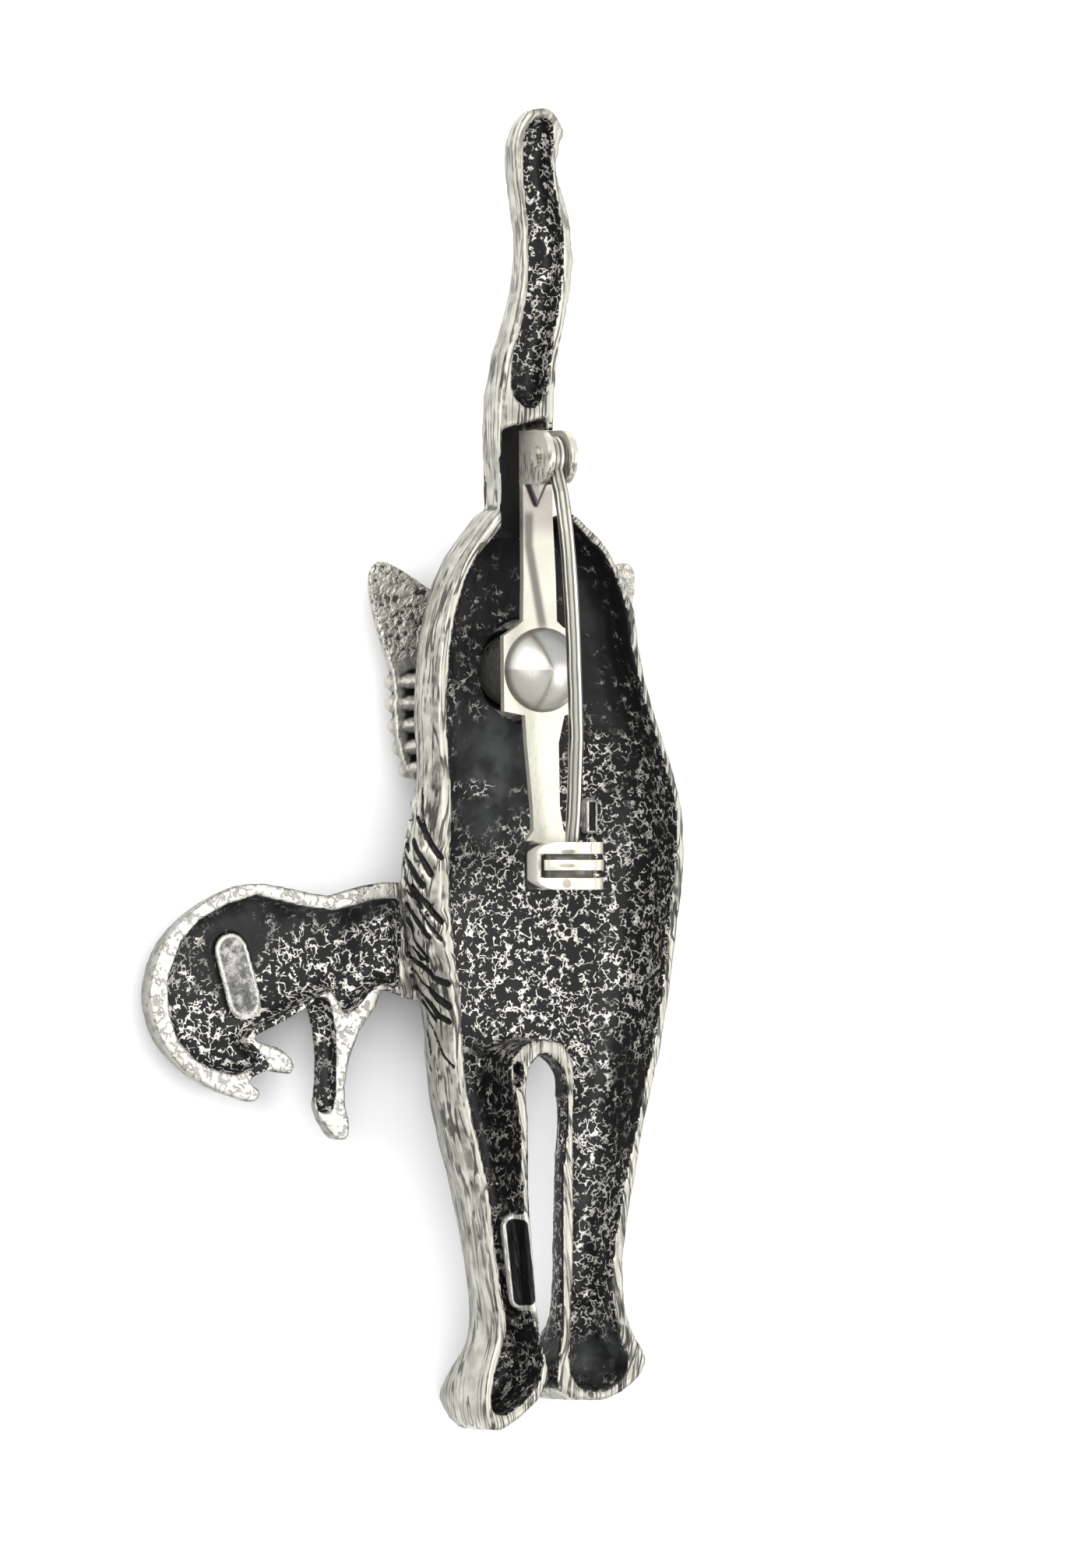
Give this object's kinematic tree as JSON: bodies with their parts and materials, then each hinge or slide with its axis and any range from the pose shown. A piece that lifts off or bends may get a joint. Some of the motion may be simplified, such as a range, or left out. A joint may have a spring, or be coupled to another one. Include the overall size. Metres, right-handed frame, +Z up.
{
  "type": "cat brooch",
  "caption": "Cast metal cat and kitten brooch with a hollow back, a separate head and a riveted pin back whose wire stem swings and whose catch lever turns.",
  "frame": {"origin": "on the table, under the middle of the whole brooch's box as it lies face down", "axes": "+Z up out of the hollow back, +Y towards the tip of the tail, +X away from the kitten"},
  "size_m": [0.0338, 0.0798, 0.0125],
  "materials": {
    "antiqued_casting": "cast pewter, black in the hollows, worn bright on rims and walls",
    "plated_sheet": "bright nickel plate, lightly worn",
    "plated_rivet": "bright nickel plate",
    "plated_wire": "drawn and plated steel wire"
  },
  "bodies": {
    "brooch": {"casting": "antiqued_casting", "head": "antiqued_casting", "pin_bar": "plated_sheet", "bar_rivet": "plated_rivet", "hinge_pin": "plated_rivet"},
    "stem": {"pin_stem": "plated_wire"},
    "lever": {"catch_rotor": "plated_sheet"}
  },
  "joints": [
    {"name": "stem_hinge", "type": "hinge", "parent": "brooch", "child": "stem", "pos_m": [0.00723, 0.0188, 0.0103], "axis": [-1, 0, 0], "range_deg": [0, 100], "deforming": ["pin_stem"]},
    {"name": "catch_lever", "type": "hinge", "parent": "brooch", "child": "lever", "pos_m": [0.00823, -0.00585, 0.01], "axis": [0, 1, 0], "range_deg": [0, 60]}
  ]
}
